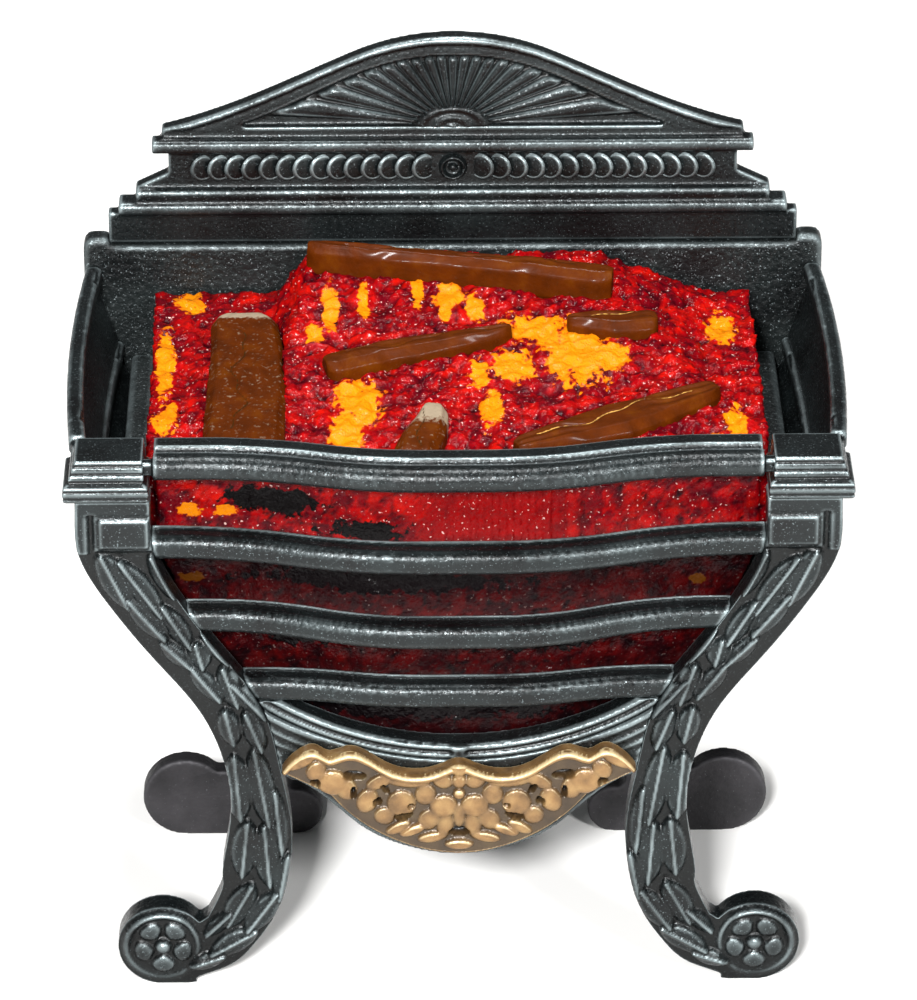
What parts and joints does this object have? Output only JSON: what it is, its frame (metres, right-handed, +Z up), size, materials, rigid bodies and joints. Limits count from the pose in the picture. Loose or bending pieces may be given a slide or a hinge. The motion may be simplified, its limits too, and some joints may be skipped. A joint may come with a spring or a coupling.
{
  "type": "miniature fire basket",
  "caption": "Dolls' house fire basket with scrolled legs, bowed bars, a stepped fan crest, a gilt apron and a coal and log fire that lifts out.",
  "frame": {"origin": "on the ground, at the middle of the whole object's box", "axes": "+Z up, the bars and scroll feet face -Y, +X to the right of someone facing the bars"},
  "size_m": [0.0454, 0.029, 0.0497],
  "materials": {
    "black_casting": "semi-gloss black over white metal",
    "rough_black_liner": "rough black with a fine sparkle",
    "gilt_paint": "satin gilt paint",
    "painted_coals": "glossy painted resin",
    "painted_logs": "satin brown"
  },
  "bodies": {
    "grate": {"apron_ornament": "gilt_paint", "apron_plate": "black_casting", "crest": "black_casting", "fireback_panel": "rough_black_liner", "front_bar_1": "black_casting", "front_bar_2": "black_casting", "front_bar_3": "black_casting", "front_bar_4": "black_casting", "left_front_leg": "black_casting", "left_pan_wall": "rough_black_liner", "left_post_cap": "black_casting", "left_rear_foot": "black_casting", "left_side_panel_1": "black_casting", "left_side_panel_2": "black_casting", "left_side_rail_1": "black_casting", "left_side_rail_2": "black_casting", "left_side_rail_3": "black_casting", "lower_rail": "black_casting", "pan_floor": "rough_black_liner", "right_front_leg": "black_casting", "right_pan_wall": "rough_black_liner", "right_post_cap": "black_casting", "right_rear_foot": "black_casting", "right_side_panel_1": "black_casting", "right_side_panel_2": "black_casting", "right_side_rail_1": "black_casting", "right_side_rail_2": "black_casting", "right_side_rail_3": "black_casting"},
    "fire": {"ember_bed": "painted_coals", "log_back": "painted_logs", "log_left": "painted_logs", "log_middle": "painted_logs", "log_right": "painted_logs", "log_small": "painted_logs", "log_stub": "painted_logs"}
  },
  "joints": [
    {"name": "fire_lift", "type": "slide", "parent": "grate", "child": "fire", "axis": [0, 0, 1], "range_m": [0, 0.024]}
  ]
}
